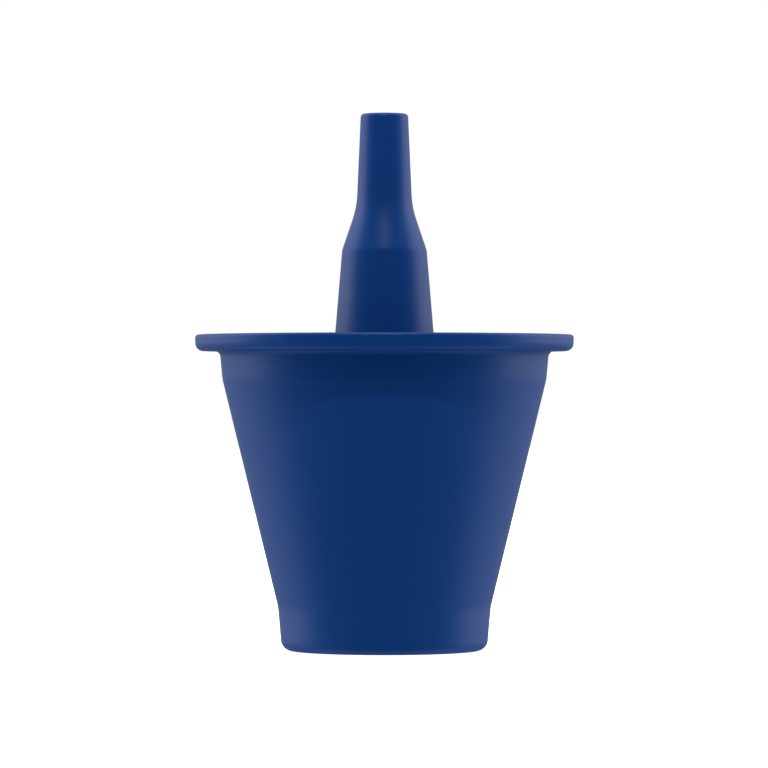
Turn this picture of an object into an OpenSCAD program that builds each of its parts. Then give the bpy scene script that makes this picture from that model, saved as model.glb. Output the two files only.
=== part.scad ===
// Fuel sampler cup: a tapered cup with a rim flange, and a hollow stem that presses an aircraft's
// drain valve open and leads the fuel down into the cup.
// Millimetres. +Z is up, along the axis; the origin is the centre of the face that the cup stands on.

/* [Cup] */
// Height of the cup, from the base to the top face of the rim flange
cup_h = 50; // [40:1:62]
// Outside diameter of the rim flange
flange_d = 60; // [56:0.5:74]
// Thickness of the rim flange
flange_t = 2.6; // [1.8:0.1:3.4]
// Outside diameter of the cup just under the flange
throat_d = 52.1; // [46:0.1:54]
// Outside diameter of the cup at the base, before its edge is rounded
base_d = 32.5; // [30:0.1:40]
// Height of the steeper band under the flange
throat_band_h = 4.4; // [3:0.1:8]
// Height of the steeper band above the base
base_band_h = 6.9; // [4:0.1:10]
// Draft angle of both bands, from the axis
band_draft = 5; // [2:0.5:6]
// Draft angle of the flange's edge
flange_draft = 2; // [0:0.5:4]
// Wall thickness of the cup, measured along the radius
wall_t = 2; // [1.5:0.1:2.6]
// Thickness of the floor
floor_t = 2.2; // [1.6:0.1:3]
// Depth of the recess under the base
base_recess = 0.8; // [0.4:0.1:1.2]
// Width of the flat ring that the cup stands on
foot_ring_w = 2.6; // [1.5:0.1:3.2]

/* [Boss that holds the stem] */
// Height of the boss above the floor
boss_h = 8; // [6.5:0.1:10]
// Wall thickness of the hollow boss
boss_wall = 2; // [1.6:0.1:2.4]
// Radial running clearance between the boss and the stem's bore
stem_clear = 0.04; // [0.02:0.01:0.08]
// Height of the grip ring's groove above the floor, to its lower side
groove_z = 4.6; // [3.6:0.1:5]
// Thickness of the grip ring's section as fitted
ring_section = 1; // [0.8:0.1:1.2]
// Side play of the grip ring in its groove, in all
ring_play = 0.3; // [0.1:0.05:0.4]
// Radial clearance from the grip ring to the stem's bore
ring_clear = 0.02; // [0.01:0.01:0.04]
// Width of each of the two keys that stop the stem from turning
key_w = 2; // [1.6:0.1:3]
// Height of the keys above the floor
key_h = 2.6; // [1.8:0.1:3]
// Clearance round each key in its notch
key_clear = 0.1; // [0.05:0.01:0.2]

/* [Stem] */
// Rise of the stem's tip above the rim
stem_rise = 35; // [30:1:42]
// Outside diameter of the tip, before its edge is rounded
tip_d = 7.5; // [7:0.1:9]
// Length of the slim neck
neck_h = 14.8; // [12:0.1:18]
// Draft angle of the neck
neck_draft = 2.5; // [1.5:0.1:3]
// Length of the cone between the neck and the barrel
shoulder_h = 6.8; // [5:0.1:9]
// Outside diameter at the top of the barrel
barrel_top_d = 13.4; // [12:0.1:16]
// Outside diameter of the straight skirt at the foot of the stem
skirt_d = 19; // [18:0.1:22]
// Height of the straight skirt above the floor
skirt_h = 27; // [20:1:33]
// Wall thickness of the barrel and the skirt
stem_wall = 2; // [1.5:0.1:2.4]

/* [Fuel ports] */
// Number of ports round the stem
port_count = 4; // [2:2:4]
// Width of each port
port_w = 3.2; // [2:0.1:4.2]
// Height of each port
port_h = 7; // [5:0.1:10]
// Height of the ports' lower edge above the top of the boss
port_sill = 0.4; // [0:0.1:2]

/* [Tip] */
// Diameter of the mouth that fits over the drain valve's button
mouth_d = 5.2; // [4.8:0.1:5.6]
// Depth of the mouth
mouth_depth = 3.5; // [2.5:0.1:5]
// Width of the step between the mouth and the seat of the pin carrier
seat_step = 0.25; // [0.2:0.05:0.4]
// Height of the pin carrier
carrier_h = 3; // [2:0.1:4]
// Wall of the carrier's ring
carrier_ring_t = 0.4; // [0.3:0.05:0.5]
// Wall of the carrier's hub, round the pin
carrier_hub_t = 0.35; // [0.3:0.05:0.4]
// Width of each of the carrier's spokes
spoke_w = 0.6; // [0.5:0.05:0.8]
// Number of spokes
spoke_count = 3; // [3:1:4]
// Diameter of the pusher pin
pin_d = 1.6; // [1.3:0.1:1.8]
// Length of the pusher pin
pin_h = 9; // [6:0.5:12]
// Gap drawn between pieces that are pressed together
press_gap = 0.01; // [0.005:0.005:0.02]

/* [Edges] */
// Rounding of the base's outer edge
base_fillet = 1.75; // [1:0.05:2]
// Blend where the cone meets a band
band_blend = 6; // [2:0.5:8]
// Rounding in the corner under the flange
throat_fillet = 1; // [0.5:0.1:1.5]
// Rounding of the flange's lower edge
flange_low_fillet = 1.25; // [0.5:0.05:1.5]
// Rounding of the flange's upper edge
flange_top_fillet = 0.5; // [0.2:0.05:0.8]
// Rounding of the rim's inner edge
rim_fillet = 0.6; // [0.3:0.05:0.9]
// Rounding where the inner wall meets the floor
floor_fillet = 2.2; // [1:0.1:3]
// Rounding of the edges of the foot ring's recess
recess_fillet = 0.3; // [0.1:0.05:0.4]
// Rounding of the boss's top edge
boss_fillet = 0.6; // [0.3:0.05:0.8]
// Rounding of the tip's outer edge
tip_fillet = 0.7; // [0.4:0.05:0.8]
// Rounding of the mouth's edge
mouth_fillet = 0.15; // [0.1:0.05:0.2]
// Blend between the neck and the shoulder
neck_blend = 14; // [6:0.5:18]
// Rounding between the shoulder and the barrel
shoulder_fillet = 2.5; // [1:0.1:5]
// Blend between the barrel and the skirt
skirt_blend = 12; // [6:0.5:18]
// Rounding of the skirt's foot
skirt_fillet = 0.4; // [0.2:0.05:0.6]
// Lead-in at the foot of the stem's bore
lead_in = 0.5; // [0.3:0.05:0.7]
// Rounding of the pin's ends
pin_fillet = 0.3; // [0.2:0.05:0.5]

/* [Hidden] */
$fn = 96;

// Most degrees of a rounded corner that one straight step may span, and the fewest steps it takes
arc_step = 9;
arc_steps_min = 4;
// Share of an edge that the rounding at each of its ends may use
edge_share = 0.48;
// How far a cutter passes beyond what it cuts, and a joined piece reaches into its neighbour
overshoot = 1;
bite = 0.2;

// Levels of the cup
floor_z = base_recess + floor_t;
flange_z = cup_h - flange_t;
throat_z = flange_z - throat_band_h;

// Radii of the cup's outside at the ends of its bands
base_r = base_d / 2;
throat_r = throat_d / 2;
cone_low_r = base_r + base_band_h * tan(band_draft);
cone_top_r = throat_r - throat_band_h * tan(band_draft);
flange_r = flange_d / 2;
rim_inner_r = throat_r + flange_t * tan(band_draft) - wall_t;
foot_ring_r = base_r - base_fillet - foot_ring_w;
floor_r = base_r + floor_z * tan(band_draft) - wall_t;

// The boss and what fits round it
skirt_r = skirt_d / 2;
bore_r = skirt_r - stem_wall;
boss_r = bore_r - stem_clear;
boss_core_r = boss_r - boss_wall;
boss_z = floor_z + boss_h;
boss_core_z = boss_z - boss_wall;
ring_outer_r = bore_r - ring_clear;
groove_r = ring_outer_r - ring_section;
groove_low_z = floor_z + groove_z;
groove_top_z = groove_low_z + ring_section + ring_play;
key_reach_r = skirt_r - key_clear;

// Levels and radii of the stem
tip_z = cup_h + stem_rise;
neck_z = tip_z - neck_h;
barrel_z = neck_z - shoulder_h;
tip_r = tip_d / 2;
neck_r = tip_r + neck_h * tan(neck_draft);
barrel_r = barrel_top_d / 2;
skirt_z = floor_z + skirt_h;
barrel_bore_r = barrel_r - stem_wall;
port_z = boss_z + port_sill;

// Levels and radii of the tip's bore
mouth_z = tip_z - mouth_depth;
carrier_z = mouth_z - carrier_h;
mouth_r = mouth_d / 2;
carrier_r = mouth_r - seat_step;
neck_bore_r = carrier_r - carrier_ring_t + press_gap;
neck_bore_low_r = neck_bore_r + (carrier_z - neck_z) * tan(neck_draft);
pin_r = pin_d / 2;
hub_r = pin_r + carrier_hub_t;

// ---- Outlines -------------------------------------------------------------------------------------

function unit(v) = v / norm(v);

// A corner at p, between its neighbours a and b, rounded to radius r or to what the shorter edge allows
function round_corner(a, p, b, r) =
    let (
        u = unit(a - p),
        v = unit(b - p),
        half = acos(max(-1, min(1, u * v))) / 2,
        reach = min(norm(a - p), norm(b - p)) * edge_share,
        fit_r = min(r, reach * tan(half)),
        centre = p + unit(u + v) * fit_r / sin(half),
        start = p + u * fit_r / tan(half) - centre,
        end = p + v * fit_r / tan(half) - centre,
        first = atan2(start.y, start.x),
        sweep = (atan2(end.y, end.x) - first + 540) % 360 - 180,
        steps = max(arc_steps_min, ceil(abs(sweep) / arc_step))
    )
    [for (i = [0:steps]) centre + fit_r * [cos(first + sweep * i / steps), sin(first + sweep * i / steps)]];

// A closed outline whose corners are [x, y, rounding]
function rounded(corners) =
    let (n = len(corners), at = [for (c = corners) [c[0], c[1]]])
    [
        for (i = [0:n - 1])
            each corners[i][2] > 0
                ? round_corner(at[(i + n - 1) % n], at[i], at[(i + 1) % n], corners[i][2])
                : [at[i]]
    ];

module turned(corners) {
    rotate_extrude()
        polygon(rounded(corners));
}

// ---- Cup ------------------------------------------------------------------------------------------

// Outline of the cup, from the hollow under its boss out round the flange and back to the axis
cup_corners = [
    [0, boss_core_z, 0],
    [boss_core_r, boss_core_z, boss_fillet],
    [boss_core_r, base_recess, recess_fillet],
    [foot_ring_r, base_recess, recess_fillet],
    [foot_ring_r, 0, recess_fillet],
    [base_r, 0, base_fillet],
    [cone_low_r, base_band_h, band_blend],
    [cone_top_r, throat_z, band_blend],
    [throat_r, flange_z, throat_fillet],
    [flange_r - flange_t * tan(flange_draft), flange_z, flange_low_fillet],
    [flange_r, cup_h, flange_top_fillet],
    [rim_inner_r, cup_h, rim_fillet],
    [cone_top_r - wall_t, throat_z, band_blend],
    [cone_low_r - wall_t, base_band_h, band_blend],
    [floor_r, floor_z, floor_fillet],
    [boss_r, floor_z, 0],
    [boss_r, groove_low_z, 0],
    [groove_r, groove_low_z, 0],
    [groove_r, groove_top_z, 0],
    [boss_r, groove_top_z, 0],
    [boss_r, boss_z, boss_fillet],
    [0, boss_z, 0],
];

// The two keys stand on the floor against the boss, one on each side along X
module keys() {
    for (side = [0, 180])
        rotate([0, 0, side])
            translate([boss_r - bite, -key_w / 2, floor_z - bite])
                cube([key_reach_r - boss_r + bite, key_w, key_h + bite]);
}

module cup() {
    color([0.07, 0.2, 0.42]) {
        turned(cup_corners);
        keys();
    }
}

// The grip ring sits in the boss's groove and holds the stem on by friction
module grip_ring() {
    color([0.1, 0.1, 0.11])
        translate([0, 0, (groove_low_z + groove_top_z) / 2])
            rotate_extrude()
                translate([(groove_r + ring_outer_r) / 2, 0])
                    circle(d = ring_section);
}

// ---- Stem -----------------------------------------------------------------------------------------

// Outline of the stem, from the foot of its bore out over the tip and back down the bore
stem_corners = [
    [bore_r + lead_in, floor_z, 0],
    [skirt_r, floor_z, skirt_fillet],
    [skirt_r, skirt_z, skirt_blend],
    [barrel_r, barrel_z, shoulder_fillet],
    [neck_r, neck_z, neck_blend],
    [tip_r, tip_z, tip_fillet],
    [mouth_r, tip_z, mouth_fillet],
    [mouth_r, mouth_z, 0],
    [carrier_r, mouth_z, 0],
    [carrier_r, carrier_z, 0],
    [neck_bore_r, carrier_z, 0],
    [neck_bore_low_r, neck_z, neck_blend],
    [barrel_bore_r, barrel_z, shoulder_fillet],
    [bore_r, skirt_z, skirt_blend],
    [bore_r, floor_z + lead_in, 0],
];

// Outline of a port with round ends, standing on the origin
function port_outline(w, h) = [
    for (end = [0, 1], i = [0:8])
        let (a = 180 * end + 22.5 * i)
        [w / 2 * cos(a), (end == 0 ? h - w / 2 : w / 2) + w / 2 * sin(a)]
];

// The ports lie between the keys, at equal angles, just above the boss
module port_cutters() {
    for (i = [0:port_count - 1])
        rotate([0, 0, (i + 0.5) * 360 / port_count])
            translate([0, 0, port_z])
                rotate([90, 0, 0])
                    linear_extrude(height = skirt_r + overshoot)
                        polygon(port_outline(port_w, port_h));
}

// Notches in the skirt that drop over the keys
module key_notches() {
    for (side = [0, 180])
        rotate([0, 0, side])
            translate([bore_r - overshoot, -key_w / 2 - key_clear, floor_z - overshoot])
                cube([stem_wall + 2 * overshoot, key_w + 2 * key_clear, key_h + key_clear + overshoot]);
}

module stem() {
    color([0.07, 0.2, 0.42])
        difference() {
            turned(stem_corners);
            port_cutters();
            key_notches();
        }
}

// ---- Tip ------------------------------------------------------------------------------------------

// The pin carrier is a small wheel pressed into the tip's seat; the fuel passes between its spokes
module pin_carrier() {
    ring_r = carrier_r - press_gap;
    ring_bore_r = carrier_r - carrier_ring_t;
    color([0.75, 0.62, 0.35])
        translate([0, 0, carrier_z])
            linear_extrude(height = carrier_h)
                difference() {
                    union() {
                        difference() {
                            circle(r = ring_r);
                            circle(r = ring_bore_r);
                        }
                        circle(r = hub_r);
                        for (i = [0:spoke_count - 1])
                            rotate((i + 0.5) * 360 / spoke_count)
                                translate([pin_r, -spoke_w / 2])
                                    square([(ring_bore_r + ring_r) / 2 - pin_r, spoke_w]);
                    }
                    circle(r = pin_r + press_gap);
                }
}

// The pusher pin is pressed through the carrier, with its end level with the floor of the mouth
module pusher_pin() {
    color([0.72, 0.73, 0.75])
        turned([
            [0, mouth_z - pin_h, 0],
            [pin_r, mouth_z - pin_h, pin_fillet],
            [pin_r, mouth_z, pin_fillet],
            [0, mouth_z, 0],
        ]);
}

cup();
stem();
grip_ring();
pin_carrier();
pusher_pin();
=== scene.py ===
"""A fuel sampler cup: a satin blue moulded cup, and the hollow stem that stands on a boss inside it."""

import math

import bpy
import numpy as np
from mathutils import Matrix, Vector


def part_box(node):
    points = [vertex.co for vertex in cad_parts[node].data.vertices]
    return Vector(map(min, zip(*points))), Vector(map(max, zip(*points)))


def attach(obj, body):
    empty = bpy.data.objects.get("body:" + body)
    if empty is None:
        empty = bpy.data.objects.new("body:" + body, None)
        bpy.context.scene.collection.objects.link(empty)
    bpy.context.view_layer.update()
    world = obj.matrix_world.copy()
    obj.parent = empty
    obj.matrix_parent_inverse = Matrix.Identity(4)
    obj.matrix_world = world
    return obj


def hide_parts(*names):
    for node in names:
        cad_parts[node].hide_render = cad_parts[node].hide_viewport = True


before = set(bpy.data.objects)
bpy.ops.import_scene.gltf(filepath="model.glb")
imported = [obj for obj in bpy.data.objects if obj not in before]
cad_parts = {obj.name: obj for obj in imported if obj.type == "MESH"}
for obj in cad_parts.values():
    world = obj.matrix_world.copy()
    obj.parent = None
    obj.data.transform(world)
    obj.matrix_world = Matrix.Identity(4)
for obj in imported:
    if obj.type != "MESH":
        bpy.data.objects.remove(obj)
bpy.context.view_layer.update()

# ---- Sizes, in metres, from the frame ---------------------------------------------------------------

MM = 0.001
AXIS_COLUMNS = 256
SIDE_STEP = 2.5 * MM
ARC_STEP = math.radians(9)
ARC_POINTS = 4
LONGEST_REACH = 0.48
BLOCK_EDGE_STEPS = 4
SHARP_ANGLE = math.radians(35)

cup_low, cup_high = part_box("cup")
stem_low, stem_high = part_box("stem")
carrier_low, carrier_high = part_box("pin_carrier")

CUP_H = cup_high.z
FLANGE_R = 30.0 * MM
FLOOR_Z = stem_low.z
SKIRT_R = stem_high.x
TIP_Z = stem_high.z
MOUTH_Z = carrier_high.z
CARRIER_Z = carrier_low.z
CARRIER_R = carrier_high.x + 0.01 * MM

# The cup's own dimensions
FLANGE_T = 2.6 * MM
FLANGE_DRAFT = math.tan(math.radians(2))
THROAT_R = 26.05 * MM
BASE_R = 16.25 * MM
THROAT_BAND_H = 4.4 * MM
BASE_BAND_H = 6.9 * MM
BAND_DRAFT = math.tan(math.radians(5))
WALL = 2.0 * MM
BASE_RECESS = 0.8 * MM
FOOT_RING_W = 2.6 * MM
BOSS_H = 8.0 * MM
BOSS_R = 7.46 * MM
BOSS_WALL = 2.0 * MM
GROOVE_R = 6.48 * MM
GROOVE_LOW = 4.6 * MM
GROOVE_H = 1.3 * MM
KEY_W = 2.0 * MM
KEY_H = 2.6 * MM
KEY_REACH = 9.4 * MM
GATE_R = 0.8 * MM
GATE_H = 0.25 * MM
KEY_SINK = 0.2 * MM

# The cup's rounded corners
BASE_FILLET = 1.75 * MM
BAND_FILLET = 6.0 * MM
THROAT_FILLET = 1.0 * MM
FLANGE_LOW_FILLET = 1.25 * MM
FLANGE_TOP_FILLET = 0.5 * MM
RIM_FILLET = 0.6 * MM
FLOOR_FILLET = 2.2 * MM
RECESS_FILLET = 0.3 * MM
BOSS_FILLET = 0.6 * MM
BOSS_FOOT_FILLET = 0.15 * MM
GROOVE_LIP_FILLET = 0.06 * MM
GROOVE_FILLET = 0.1 * MM
GATE_FILLET = 0.1 * MM
KEY_FILLET = 0.15 * MM

# The stem's own dimensions
NECK_H = 14.8 * MM
NECK_DRAFT = math.tan(math.radians(2.5))
SHOULDER_H = 6.8 * MM
TIP_R = 3.75 * MM
BARREL_R = 6.7 * MM
SKIRT_H = 27.0 * MM
STEM_WALL = 2.0 * MM
MOUTH_R = 2.6 * MM
NECK_BORE_R = CARRIER_R - 0.4 * MM
LEAD_IN = 0.5 * MM
NOTCH_HALF_W = 1.1 * MM
NOTCH_H = 2.7 * MM
PORT_W = 3.2 * MM
PORT_H = 7.0 * MM
PORT_Z = FLOOR_Z + BOSS_H + 0.4 * MM
PORT_EDGE = 0.25 * MM
PORT_BAND = 2.0 * MM

# The stem's rounded corners
LEAD_IN_FILLET = 0.08 * MM
SKIRT_FOOT_FILLET = 0.4 * MM
SKIRT_FILLET = 12.0 * MM
SHOULDER_FILLET = 2.5 * MM
NECK_FILLET = 14.0 * MM
TIP_FILLET = 0.7 * MM
MOUTH_FILLET = 0.15 * MM


# ---- Outlines ---------------------------------------------------------------------------------------


def unit(v):
    return v / np.linalg.norm(v)


def corner_arc(before, corner, after, radius):
    """The arc of a circle that touches both sides of a corner, as points from one side to the other. It
    takes no more than LONGEST_REACH of the shorter side."""
    u, v = unit(before - corner), unit(after - corner)
    half = math.acos(np.clip(u @ v, -1, 1)) / 2
    reach = LONGEST_REACH * min(np.linalg.norm(before - corner), np.linalg.norm(after - corner))
    radius = min(radius, reach * math.tan(half))
    centre = corner + unit(u + v) * radius / math.sin(half)
    start = corner + u * radius / math.tan(half) - centre
    end = corner + v * radius / math.tan(half) - centre
    first = math.atan2(start[1], start[0])
    sweep = (math.atan2(end[1], end[0]) - first + 3 * math.pi) % (2 * math.pi) - math.pi
    angles = first + sweep * np.linspace(0, 1, ARC_POINTS + int(abs(sweep) / ARC_STEP))
    return centre + radius * np.stack([np.cos(angles), np.sin(angles)], 1)


def straight(start, end):
    """Points inside a straight side, by a cosine rule, so that they crowd towards both of its ends."""
    count = max(3, int(np.linalg.norm(end - start) / SIDE_STEP) + 3)
    share = (1 - np.cos(np.pi * np.arange(1, count) / count)) / 2
    return start + share[:, None] * (end - start)


def outline(corners, closed):
    """A profile (radius, height) through corners (radius, height, rounding), with its sides split by
    straight()."""
    at = np.array([c[:2] for c in corners])
    count = len(corners)
    runs = []
    for i, (_, _, radius) in enumerate(corners):
        if radius:
            runs.append(corner_arc(at[i - 1], at[i], at[(i + 1) % count], radius))
        else:
            runs.append(at[i : i + 1])
    points = []
    for i, run in enumerate(runs):
        points.append(run)
        if closed or i < count - 1:
            points.append(straight(run[-1], runs[(i + 1) % count][0]))
    return np.concatenate(points)


# ---- Meshes -----------------------------------------------------------------------------------------


def make_piece(name, vertices, faces):
    """A smooth mesh object, with its place in its mesh, and sharp edges where it turns by SHARP_ANGLE."""
    mesh = bpy.data.meshes.new(name)
    mesh.from_pydata(vertices.tolist(), [], faces)
    mesh.validate()
    piece = bpy.data.objects.new(name, mesh)
    bpy.context.scene.collection.objects.link(piece)
    mesh.shade_smooth()
    mesh.set_sharp_from_angle(angle=SHARP_ANGLE)
    return piece


def turned(profile):
    """A profile turned round Z. Ring i holds radius[i] * (cos a, sin a) at height[i], for the angle a of
    each of AXIS_COLUMNS columns. The profile starts and ends on the axis, and a fan closes each pole."""
    columns = AXIS_COLUMNS
    angles = np.arange(columns) * 2 * math.pi / columns
    inner = profile[1:-1]
    rings = np.stack(
        [
            inner[:, :1] * np.cos(angles),
            inner[:, :1] * np.sin(angles),
            np.repeat(inner[:, 1:], columns, 1),
        ],
        2,
    ).reshape(-1, 3)
    poles = np.array([[0, 0, profile[0, 1]], [0, 0, profile[-1, 1]]])
    row, column = np.meshgrid(np.arange(len(inner) - 1), np.arange(columns), indexing="ij")
    after = (column + 1) % columns
    quads = np.stack(
        [
            row * columns + column,
            row * columns + after,
            (row + 1) * columns + after,
            (row + 1) * columns + column,
        ],
        2,
    ).reshape(-1, 4)
    first_pole = len(rings)
    ring = np.arange(columns)
    last = (len(inner) - 1) * columns
    low_fan = np.stack([np.full(columns, first_pole), (ring + 1) % columns, ring], 1)
    high_fan = np.stack([np.full(columns, first_pole + 1), last + ring, last + (ring + 1) % columns], 1)
    faces = quads.tolist() + low_fan.tolist() + high_fan.tolist()
    return np.concatenate([rings, poles]), faces


def cup_profile():
    """The cup's half section, from the hollow under its boss out round the flange and back to the axis."""
    throat_z = CUP_H - FLANGE_T
    cone_z = throat_z - THROAT_BAND_H
    cone_low_r = BASE_R + BASE_BAND_H * BAND_DRAFT
    cone_top_r = THROAT_R - THROAT_BAND_H * BAND_DRAFT
    core_z = FLOOR_Z + BOSS_H - BOSS_WALL
    core_r = BOSS_R - BOSS_WALL
    foot_r = BASE_R - BASE_FILLET - FOOT_RING_W
    groove_z = FLOOR_Z + GROOVE_LOW
    floor_r = BASE_R + FLOOR_Z * BAND_DRAFT - WALL
    rim_r = THROAT_R + FLANGE_T * BAND_DRAFT - WALL
    return outline(
        [
            (0, core_z - GATE_H, 0),
            (GATE_R, core_z - GATE_H, GATE_FILLET),
            (GATE_R, core_z, GATE_FILLET),
            (core_r, core_z, BOSS_FILLET),
            (core_r, BASE_RECESS, RECESS_FILLET),
            (foot_r, BASE_RECESS, RECESS_FILLET),
            (foot_r, 0, RECESS_FILLET),
            (BASE_R, 0, BASE_FILLET),
            (cone_low_r, BASE_BAND_H, BAND_FILLET),
            (cone_top_r, cone_z, BAND_FILLET),
            (THROAT_R, throat_z, THROAT_FILLET),
            (FLANGE_R - FLANGE_T * FLANGE_DRAFT, throat_z, FLANGE_LOW_FILLET),
            (FLANGE_R, CUP_H, FLANGE_TOP_FILLET),
            (rim_r, CUP_H, RIM_FILLET),
            (cone_top_r - WALL, cone_z, BAND_FILLET),
            (cone_low_r - WALL, BASE_BAND_H, BAND_FILLET),
            (floor_r, FLOOR_Z, FLOOR_FILLET),
            (BOSS_R, FLOOR_Z, BOSS_FOOT_FILLET),
            (BOSS_R, groove_z, GROOVE_LIP_FILLET),
            (GROOVE_R, groove_z, GROOVE_FILLET),
            (GROOVE_R, groove_z + GROOVE_H, GROOVE_FILLET),
            (BOSS_R, groove_z + GROOVE_H, GROOVE_LIP_FILLET),
            (BOSS_R, FLOOR_Z + BOSS_H, BOSS_FILLET),
            (0, FLOOR_Z + BOSS_H, 0),
        ],
        closed=False,
    )


def rounded_block(low, high, edge):
    """A box with round edges. Each of its six sides is a grid, and each point p of it goes to the inner box,
    which is the box less edge all round, plus edge times the direction from the inner box to p."""
    low, high = np.array(low), np.array(high)
    bend = edge * np.linspace(0, 1, BLOCK_EDGE_STEPS + 1)
    lines = [np.concatenate([low[k] + bend, high[k] - bend[::-1]]) for k in range(3)]
    count = 2 * BLOCK_EDGE_STEPS + 2
    i, j = np.meshgrid(np.arange(count - 1), np.arange(count - 1), indexing="ij")
    corner = i * count + j
    quads = np.stack([corner, corner + count, corner + count + 1, corner + 1], 2).reshape(-1, 4)
    sheets, faces = [], []
    for axis in range(3):
        u, v = (axis + 1) % 3, (axis + 2) % 3
        for side, level in enumerate((low[axis], high[axis])):
            points = np.empty((count, count, 3))
            points[..., u], points[..., v] = np.meshgrid(lines[u], lines[v], indexing="ij")
            points[..., axis] = level
            core = np.clip(points, low + edge, high - edge)
            out = points - core
            points = core + edge * out / np.linalg.norm(out, axis=2, keepdims=True)
            faces.append((quads if side else quads[:, ::-1]) + len(sheets) * count * count)
            sheets.append(points.reshape(-1, 3))
    return np.concatenate(sheets), np.concatenate(faces).tolist()


def joined(*parts):
    """Several (vertices, faces) pairs as one."""
    vertices, faces, start = [], [], 0
    for points, sides in parts:
        vertices.append(points)
        faces += [[index + start for index in side] for side in sides]
        start += len(points)
    return np.concatenate(vertices), faces


def make_cup():
    """The cup, with the two keys that stand beside its boss."""
    keys = []
    for side in (-1, 1):
        ends = sorted([side * (BOSS_R - KEY_SINK), side * KEY_REACH])
        low = (ends[0], -KEY_W / 2, FLOOR_Z - KEY_SINK)
        high = (ends[1], KEY_W / 2, FLOOR_Z + KEY_H)
        keys.append(rounded_block(low, high, KEY_FILLET))
    return make_piece("cup_shell", *joined(turned(cup_profile()), *keys))


# ---- The stem: a turned shell with four ports and two key notches ------------------------------------

QUADRANTS = 4
QUADRANT_COLUMNS = AXIS_COLUMNS // QUADRANTS
NOTCH_COLUMNS = 5
PORT_RINGS = 7
PORT_RING_CROWDING = 1.6
EDGE_RINGS = 5
WALL_RINGS = 4


def stem_profile():
    """The stem's half section, from the foot of its bore out over the tip and back down the bore."""
    neck_z = TIP_Z - NECK_H
    barrel_z = neck_z - SHOULDER_H
    skirt_z = FLOOR_Z + SKIRT_H
    neck_r = TIP_R + NECK_H * NECK_DRAFT
    bore_r = SKIRT_R - STEM_WALL
    neck_bore_low_r = NECK_BORE_R + (CARRIER_Z - neck_z) * NECK_DRAFT
    return outline(
        [
            (bore_r + LEAD_IN, FLOOR_Z, LEAD_IN_FILLET),
            (SKIRT_R, FLOOR_Z, SKIRT_FOOT_FILLET),
            (SKIRT_R, FLOOR_Z + NOTCH_H, 0),
            (SKIRT_R, PORT_Z - PORT_BAND, 0),
            (SKIRT_R, PORT_Z + PORT_H + PORT_BAND, 0),
            (SKIRT_R, skirt_z, SKIRT_FILLET),
            (BARREL_R, barrel_z, SHOULDER_FILLET),
            (neck_r, neck_z, NECK_FILLET),
            (TIP_R, TIP_Z, TIP_FILLET),
            (MOUTH_R, TIP_Z, MOUTH_FILLET),
            (MOUTH_R, MOUTH_Z, 0),
            (CARRIER_R, MOUTH_Z, 0),
            (CARRIER_R, CARRIER_Z, 0),
            (NECK_BORE_R, CARRIER_Z, 0),
            (neck_bore_low_r, neck_z, NECK_FILLET),
            (BARREL_R - STEM_WALL, barrel_z, SHOULDER_FILLET),
            (bore_r, skirt_z, SKIRT_FILLET),
            (bore_r, PORT_Z + PORT_H + PORT_BAND, 0),
            (bore_r, PORT_Z - PORT_BAND, 0),
            (bore_r, FLOOR_Z + NOTCH_H, 0),
            (bore_r, FLOOR_Z + LEAD_IN, LEAD_IN_FILLET),
        ],
        closed=True,
    )


def stem_angles(profile):
    """The angle of every column in every row. Beside a notch the columns are squeezed, so that column
    NOTCH_COLUMNS lies on the notch's side, at asin(half width / radius). The squeeze fades out on the way
    up to the ports."""
    turn = 2 * math.pi / AXIS_COLUMNS
    column = np.arange(AXIS_COLUMNS)
    half_turn = AXIS_COLUMNS // 2
    from_notch = (column + half_turn // 2) % half_turn - half_turn // 2
    eighth = AXIS_COLUMNS // 8
    radius, height = profile.T
    side = np.arcsin(np.clip(NOTCH_HALF_W / radius, 0, 0.9))
    far = np.abs(from_notch)
    squeezed = np.where(
        far <= NOTCH_COLUMNS,
        far / NOTCH_COLUMNS * side[:, None],
        side[:, None] + (far - NOTCH_COLUMNS) / (eighth - NOTCH_COLUMNS) * (eighth * turn - side[:, None]),
    )
    squeezed = np.where(far >= eighth, far * turn, squeezed)
    low, high = FLOOR_Z + NOTCH_H, PORT_Z - PORT_BAND
    share = np.clip((high - height) / (high - low), 0, 1)[:, None]
    offset = np.sign(from_notch) * (share * squeezed + (1 - share) * far * turn)
    return offset + (column - from_notch) * turn


def on_surface(angle, height, radius):
    return np.stack([radius * np.cos(angle), radius * np.sin(angle), height], -1)


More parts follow.
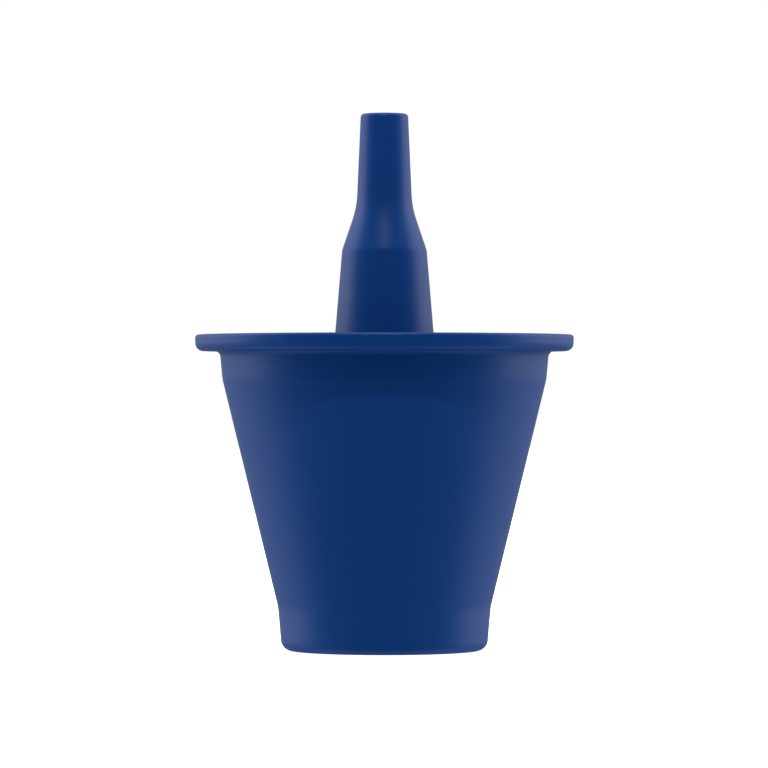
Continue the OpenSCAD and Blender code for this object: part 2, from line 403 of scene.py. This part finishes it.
def port_rings(edge_angle, edge_height, centre, outer_r, bore_r):
    """Rings of points from the outer edge of a port's panel, over the port's rounded edge, through the wall
    and out to the panel's edge on the bore. A panel point goes to the port's outline at its nearest point,
    and a ring lies part of the way between. Round the outline the edge is a quarter circle of PORT_EDGE."""
    half_w = PORT_W / 2
    across = outer_r * (edge_angle - centre)
    middle = np.clip(edge_height, PORT_Z + half_w, PORT_Z + PORT_H - half_w)
    away = np.stack([across, edge_height - middle], 1)
    away /= np.linalg.norm(away, axis=1, keepdims=True)

    def outline_at(offset):
        return away[:, 0] * (half_w + offset), middle + away[:, 1] * (half_w + offset)

    def sunk(offset, depth, radius):
        side, height = outline_at(offset)
        forward = np.sqrt(radius**2 - side**2) - depth
        x = forward * math.cos(centre) - side * math.sin(centre)
        y = forward * math.sin(centre) + side * math.cos(centre)
        return np.stack([x, y, height], 1)

    side, height = outline_at(PORT_EDGE)
    bends = np.linspace(0, math.pi / 2, EDGE_RINGS)
    outer, inner = [], []
    for rings, radius, sign in ((outer, outer_r, 1), (inner, bore_r, -1)):
        lip_angle = centre + np.arcsin(side / radius)
        for share in (np.arange(PORT_RINGS - 1, 0, -1) / PORT_RINGS) ** PORT_RING_CROWDING:
            angle = lip_angle + share * (edge_angle - lip_angle)
            rings.append(on_surface(angle, height + share * (edge_height - height), radius))
        for bend in bends:
            offset, depth = PORT_EDGE * (1 - math.sin(bend)), PORT_EDGE * (1 - math.cos(bend))
            rings.append(sunk(offset, sign * depth, radius))
    wall = [outer[-1] + (inner[-1] - outer[-1]) * k / WALL_RINGS for k in range(1, WALL_RINGS)]
    return np.stack(outer + wall + inner[::-1])


def make_stem():
    """The stem: its profile turned round Z, with a panel of rings round each port, and a notch over each
    key."""
    profile = stem_profile()
    rows = len(profile)
    bore_r = SKIRT_R - STEM_WALL

    def row_at(radius, height):
        return int(np.argmin(np.linalg.norm(profile - np.array([radius, height]), axis=1)))

    angles = stem_angles(profile)
    grid = on_surface(angles, np.repeat(profile[:, 1:], AXIS_COLUMNS, 1), profile[:, :1])
    row, column = np.meshgrid(np.arange(rows), np.arange(AXIS_COLUMNS), indexing="ij")
    row_after, column_after = (row + 1) % rows, (column + 1) % AXIS_COLUMNS
    quads = np.stack(
        [
            row * AXIS_COLUMNS + column,
            row * AXIS_COLUMNS + column_after,
            row_after * AXIS_COLUMNS + column_after,
            row_after * AXIS_COLUMNS + column,
        ],
        2,
    )

    panel_low, panel_high = PORT_Z - PORT_BAND, PORT_Z + PORT_H + PORT_BAND
    outer_rows = np.arange(row_at(SKIRT_R, panel_low), row_at(SKIRT_R, panel_high) + 1)
    bore_rows = np.arange(row_at(bore_r, panel_low), row_at(bore_r, panel_high) - 1, -1)
    notch_out, notch_in = row_at(SKIRT_R, FLOOR_Z + NOTCH_H), row_at(bore_r, FLOOR_Z + NOTCH_H)
    foot_rows = np.r_[notch_in:rows, 0:notch_out]
    half_turn = AXIS_COLUMNS // 2
    notch_columns = np.arange(-NOTCH_COLUMNS, NOTCH_COLUMNS)[:, None] + [0, half_turn]
    notch_columns = notch_columns.ravel() % AXIS_COLUMNS
    keep = np.ones((rows, AXIS_COLUMNS), bool)
    keep[outer_rows[:-1]] = False
    keep[bore_rows[1:]] = False
    keep[np.ix_(foot_rows, notch_columns)] = False
    faces = quads[keep].tolist()

    for middle in (0, half_turn):
        across = (middle + np.arange(-NOTCH_COLUMNS, NOTCH_COLUMNS + 1)) % AXIS_COLUMNS
        out, back = notch_out * AXIS_COLUMNS + across, notch_in * AXIS_COLUMNS + across
        faces += np.stack([out[:-1], back[:-1], back[1:], out[1:]], 1).tolist()
        section = np.append(foot_rows, notch_out) * AXIS_COLUMNS
        faces.append((section + across[-1]).tolist())
        faces.append((section + across[0])[::-1].tolist())

    vertices = [grid.reshape(-1, 3)]
    start = rows * AXIS_COLUMNS
    for quadrant in range(QUADRANTS):
        first = quadrant * QUADRANT_COLUMNS
        columns = first + np.arange(QUADRANT_COLUMNS + 1)
        count = len(outer_rows)
        level = np.r_[
            np.zeros(QUADRANT_COLUMNS, int),
            np.arange(count - 1),
            np.full(QUADRANT_COLUMNS, count - 1),
            np.arange(count - 1, 0, -1),
        ]
        place = np.r_[
            columns[:-1],
            np.full(count - 1, columns[-1]),
            columns[:0:-1],
            np.full(count - 1, first),
        ]
        wrapped = place % AXIS_COLUMNS
        edge_angle = place * 2 * math.pi / AXIS_COLUMNS
        edge_height = profile[outer_rows[level], 1]
        centre = (quadrant + 0.5) * math.pi / 2
        rings = port_rings(edge_angle, edge_height, centre, SKIRT_R, bore_r)
        ring_start = start + np.arange(len(rings))[:, None] * len(place) + np.arange(len(place))
        outer_edge = outer_rows[level] * AXIS_COLUMNS + wrapped
        bore_edge = bore_rows[level] * AXIS_COLUMNS + wrapped
        chain = np.vstack([outer_edge, ring_start, bore_edge])
        following = np.roll(chain, -1, axis=1)
        sides = np.stack([chain[:-1], following[:-1], following[1:], chain[1:]], 2).reshape(-1, 4)
        faces += sides.tolist()
        vertices.append(rings.reshape(-1, 3))
        start += rings.shape[0] * rings.shape[1]
    return make_piece("stem_shell", np.concatenate(vertices), faces)


# ---- Materials --------------------------------------------------------------------------------------


class Value:
    """A shader socket that can be used in an expression: an operator on it adds a Math node."""

    def __init__(self, tree, socket):
        self.tree, self.socket = tree, socket

    def math(self, operation, *inputs):
        return self.tree.node("ShaderNodeMath", {"operation": operation}, [self, *inputs])[0]

    def __add__(self, other):
        return self.math("ADD", other)

    def __sub__(self, other):
        return self.math("SUBTRACT", other)

    def __mul__(self, other):
        return self.math("MULTIPLY", other)

    def __rsub__(self, other):
        return self.tree.node("ShaderNodeMath", {"operation": "SUBTRACT"}, [other, self])[0]

    __radd__, __rmul__ = __add__, __mul__


class Nodes:
    """A node tree, with one method that adds a node to it."""

    def __init__(self, owner):
        owner.use_nodes = True
        self.nodes, self.links = owner.node_tree.nodes, owner.node_tree.links

    def node(self, kind, settings, inputs):
        """Adds a node, sets its settings and then its sockets. Returns its outputs by name and number."""
        made = self.nodes.new(kind)
        for key, value in settings.items():
            if key == "stops":
                elements = made.color_ramp.elements
                while len(elements) < len(value):
                    elements.new(1.0)
                for element, (position, level) in zip(elements, value):
                    element.position, element.color = position, (level, level, level, 1)
            elif key == "ramp":
                made.color_ramp.interpolation = value
            else:
                setattr(made, key, value)
        pairs = inputs.items() if isinstance(inputs, dict) else enumerate(inputs)
        for key, value in pairs:
            if isinstance(value, Value):
                self.links.new(value.socket, made.inputs[key])
            else:
                made.inputs[key].default_value = value
        outputs = {socket.name: Value(self, socket) for socket in made.outputs if socket.enabled}
        outputs.update({i: Value(self, socket) for i, socket in enumerate(made.outputs)})
        return outputs


class Material(Nodes):
    """A node material on a Principled shader."""

    def __init__(self, name, **settings):
        self.material = bpy.data.materials.new(name)
        super().__init__(self.material)
        self.shader = self.nodes["Principled BSDF"]
        for socket, value in settings.items():
            self.shader.inputs[socket.replace("_", " ")].default_value = value
        self.place = self.node("ShaderNodeTexCoord", {}, {})["Object"]

    def noise(self, scale, detail, place=None):
        inputs = {"Vector": place or self.place, "Scale": scale, "Detail": detail}
        return self.node("ShaderNodeTexNoise", {}, inputs)[0]

    def set(self, socket, value):
        self.links.new(value.socket, self.shader.inputs[socket])

    def bump(self, *layers):
        """Chains Bump nodes, one for each (height, distance) pair, into the shader's Normal."""
        normal = None
        for height, distance in layers:
            inputs = {"Height": height, "Distance": distance, "Strength": 1.0}
            if normal:
                inputs["Normal"] = normal
            normal = self.node("ShaderNodeBump", {}, inputs)[0]
        self.set("Normal", normal)


# The places of a Mix node's colour sockets
MIX_COLOUR_A, MIX_COLOUR_B, MIX_COLOUR_RESULT = 6, 7, 2


def mix_colour(material, factor, low, high):
    """The colour low where the factor is 0, and high where it is 1."""
    inputs = {"Factor": factor, MIX_COLOUR_A: low, MIX_COLOUR_B: high}
    return material.node("ShaderNodeMix", {"data_type": "RGBA"}, inputs)[MIX_COLOUR_RESULT]


BLUE_DEEP = (0.0038, 0.041, 0.190, 1)
BLUE_LIGHT = (0.0042, 0.045, 0.210, 1)
STEEL_DARK = (0.5, 0.5, 0.52, 1)
STEEL_LIGHT = (0.68, 0.68, 0.7, 1)
BRASS_DARK = (0.5, 0.34, 0.14, 1)
BRASS_LIGHT = (0.72, 0.52, 0.25, 1)
RUBBER_DARK = (0.012, 0.012, 0.013, 1)
RUBBER_DUSTY = (0.03, 0.03, 0.032, 1)
GRAIN_DEPTH = 0.004 * MM
SWELL_DEPTH = 0.006 * MM
RUBBER_GRAIN_DEPTH = 0.01 * MM
GRIND_STRETCH = (1, 1, 40)


def moulded_blue(name):
    """Satin blue plastic, with the faint unevenness of a moulding and the fine grain of its tool."""
    blue = Material(name)
    cloud = blue.noise(scale=60, detail=3)
    blue.set("Base Color", mix_colour(blue, cloud, BLUE_DEEP, BLUE_LIGHT))
    blue.set("Roughness", 0.37 + 0.06 * blue.noise(scale=180, detail=2))
    grain = blue.noise(scale=2600, detail=3)
    swell = blue.noise(scale=90, detail=2)
    blue.bump((grain, GRAIN_DEPTH), (swell, SWELL_DEPTH))
    return blue.material


def ground_steel():
    """Steel with fine grinding marks that run round it."""
    steel = Material("ground_steel", Metallic=1.0)
    stretched = steel.node("ShaderNodeMapping", {}, {"Vector": steel.place, "Scale": GRIND_STRETCH})[0]
    marks = steel.noise(scale=900, detail=2, place=stretched)
    steel.set("Base Color", mix_colour(steel, marks, STEEL_DARK, STEEL_LIGHT))
    steel.set("Roughness", 0.24 + 0.16 * marks)
    return steel.material


def turned_brass():
    """Brass, dulled a little and unevenly by fuel."""
    brass = Material("turned_brass", Metallic=1.0)
    marks = brass.noise(scale=1500, detail=3)
    brass.set("Base Color", mix_colour(brass, marks, BRASS_DARK, BRASS_LIGHT))
    brass.set("Roughness", 0.28 + 0.2 * marks)
    return brass.material


def ring_rubber():
    """Black rubber with a dusty bloom."""
    rubber = Material("ring_rubber")
    dust = rubber.noise(scale=700, detail=3)
    rubber.set("Base Color", mix_colour(rubber, dust, RUBBER_DARK, RUBBER_DUSTY))
    rubber.set("Roughness", 0.5 + 0.2 * dust)
    rubber.bump((rubber.noise(scale=3000, detail=2), RUBBER_GRAIN_DEPTH))
    return rubber.material


def paint(piece, material):
    piece.data.materials.clear()
    piece.data.materials.append(material)


# ---- The object -------------------------------------------------------------------------------------

blue_plastic = moulded_blue("moulded_blue")

cup = make_cup()
paint(cup, blue_plastic)
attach(cup, "cup")
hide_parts("cup")

stem = make_stem()
paint(stem, blue_plastic)
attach(stem, "stem")
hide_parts("stem")

for node, material, slot in (
    ("grip_ring", ring_rubber(), "ring_rubber"),
    ("pin_carrier", turned_brass(), "carrier_brass"),
    ("pusher_pin", ground_steel(), "pin_steel"),
):
    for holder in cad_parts[node].material_slots:
        holder.material = material

# ---- Floor, lights and camera -----------------------------------------------------------------------

CAMERA_HEIGHT = 40.29 * MM
CAMERA_DISTANCE = 758.4 * MM
CAMERA_LENS = 224.4
IMAGE_SHIFT = (-0.42 / 768, 12 / 768)

SENSOR_WIDTH = 36

# What the object reflects and is lit by. Each ramp runs over 0..1: by side from the camera's side to the
# far side, by height from straight down to straight up.
WALL_RADIANCE = 1.45
WALL_BY_SIDE = [(0.36, 0.0), (0.43, 0.15), (0.54, 0.95), (0.66, 1.0), (0.8, 0.7), (1.0, 0.25)]
WALL_BY_HEIGHT = [(0.0, 0.28), (0.37, 0.28), (0.5, 0.8), (0.6, 1.0), (0.8, 0.95), (1.0, 0.9)]
FLOOR_GLOW = 0.055
GLOW_RISE = -4.0
NOT_QUITE_FLAT = 1.0001
FLOOR_HALF = 3.0
FLOOR_WHITE = (0.8, 0.8, 0.8, 1)
FLOOR_EMISSION = 0.9

MIDDLE = (0, 0, 0.05)
KEY_ELEVATION = math.radians(56.45)
KEY_DISTANCE = 0.9
KEY_SIZE = (0.028, 0.028)
KEY_RADIANCE = 512
KEY_FILL_RADIANCE = 1137
SIDE_FILL_DISTANCE = 1.0
SIDE_FILL_SIZE = (2.4, 1.7)
SIDE_FILL_RADIANCE = 1.25
UNDER_FILL_PLACE = (0, 0, -0.8)
UNDER_FILL_SIZE = (2.0, 2.0)
UNDER_FILL_RADIANCE = 0.9
TOP_FILL_PLACE = (0, 0.25, 1.1)
TOP_FILL_SIZE = (1.2, 1.2)
TOP_FILL_RADIANCE = 1.4

scene = bpy.context.scene
scene.view_settings.view_transform = "Standard"


def seen_only_by_camera(stage):
    """The floor only backs the view. The object's light from below comes from the world and under_fill."""
    stage.visible_diffuse = False
    stage.visible_glossy = False
    stage.visible_transmission = False
    stage.visible_shadow = False


def make_floor():
    """A white floor that shows a faint shadow under the object, and is clear when it is seen from below."""
    corners = FLOOR_HALF * np.array([(-1, -1, 0), (1, -1, 0), (1, 1, 0), (-1, 1, 0)])
    floor = make_piece("floor", corners, [[0, 1, 2, 3]])
    white = Material("floor_white", Roughness=1.0, Specular_IOR_Level=0.0)
    white.shader.inputs["Base Color"].default_value = FLOOR_WHITE
    white.shader.inputs["Emission Color"].default_value = (1, 1, 1, 1)
    white.shader.inputs["Emission Strength"].default_value = FLOOR_EMISSION
    below = white.node("ShaderNodeNewGeometry", {}, {})["Backfacing"]
    clear = white.node("ShaderNodeBsdfTransparent", {}, {})[0]
    solid = Value(white, white.shader.outputs[0])
    mixed = white.node("ShaderNodeMixShader", {}, [below, solid, clear])[0]
    white.links.new(mixed.socket, white.nodes["Material Output"].inputs["Surface"])
    paint(floor, white.material)
    seen_only_by_camera(floor)


def area_light(name, place, size, radiance, reflected):
    """A rectangular light that faces MIDDLE, with one radiance all over: its power / (pi * its area)."""
    data = bpy.data.lights.new(name, "AREA")
    data.shape = "RECTANGLE"
    data.size, data.size_y = size
    data.energy = radiance * math.pi * size[0] * size[1]
    light = bpy.data.objects.new(name, data)
    scene.collection.objects.link(light)
    light.location = place
    light.rotation_euler = (Vector(MIDDLE) - Vector(place)).to_track_quat("-Z", "Y").to_euler()
    light.visible_camera = False
    light.visible_glossy = reflected
    data.cycles.use_multiple_importance_sampling = reflected


def make_world():
    """White to the camera. To the object it is a bright ring of wall beside and behind, which fades towards
    the ceiling, the floor and the camera's side, and a faint glow from below."""
    scene.world = bpy.data.worlds.new("studio")
    world = Nodes(scene.world)
    direction = world.node("ShaderNodeTexCoord", {}, {})["Generated"]
    axes = world.node("ShaderNodeSeparateXYZ", {}, [direction])
    along, up = axes["Y"], axes["Z"]
    flat = (NOT_QUITE_FLAT - up * up).math("SQRT")
    behind = 0.5 + 0.5 * along.math("DIVIDE", flat)
    above = 0.5 + 0.5 * up
    by_side = {"stops": WALL_BY_SIDE, "ramp": "CARDINAL"}
    by_height = {"stops": WALL_BY_HEIGHT, "ramp": "CARDINAL"}
    side = world.node("ShaderNodeValToRGB", by_side, [behind])[0]
    height = world.node("ShaderNodeValToRGB", by_height, [above])[0]
    below = (GLOW_RISE * up).math("MINIMUM", 1.0).math("MAXIMUM", 0.0)
    wall = WALL_RADIANCE * (side * height) + FLOOR_GLOW * below
    camera_ray = world.node("ShaderNodeLightPath", {}, {})["Is Camera Ray"]
    seen = camera_ray + (1 - camera_ray) * wall
    background = world.nodes["Background"]
    background.inputs["Color"].default_value = (1, 1, 1, 1)
    world.links.new(seen.socket, background.inputs["Strength"])


def make_lights():
    """One small hard key, above and in front, with a twin that nothing reflects. The fills at the sides,
    below and above are large and soft, and nothing reflects them either."""
    across, up = KEY_DISTANCE * math.cos(KEY_ELEVATION), KEY_DISTANCE * math.sin(KEY_ELEVATION)
    key_place = (0, -across, MIDDLE[2] + up)
    area_light("key", key_place, KEY_SIZE, KEY_RADIANCE, reflected=True)
    area_light("key_fill", key_place, KEY_SIZE, KEY_FILL_RADIANCE, reflected=False)
    for name, side in (("left_fill", -1), ("right_fill", 1)):
        place = (side * SIDE_FILL_DISTANCE, 0, MIDDLE[2])
        area_light(name, place, SIDE_FILL_SIZE, SIDE_FILL_RADIANCE, reflected=False)
    area_light("under_fill", UNDER_FILL_PLACE, UNDER_FILL_SIZE, UNDER_FILL_RADIANCE, reflected=False)
    area_light("top_fill", TOP_FILL_PLACE, TOP_FILL_SIZE, TOP_FILL_RADIANCE, reflected=False)


def make_camera():
    data = bpy.data.cameras.new("camera")
    data.sensor_width = SENSOR_WIDTH
    data.lens = CAMERA_LENS
    data.shift_x, data.shift_y = IMAGE_SHIFT
    camera = bpy.data.objects.new("camera", data)
    scene.collection.objects.link(camera)
    camera.location = (0, -CAMERA_DISTANCE, CAMERA_HEIGHT)
    camera.rotation_euler = (math.pi / 2, 0, 0)
    scene.camera = camera


make_floor()
make_world()
make_lights()
make_camera()
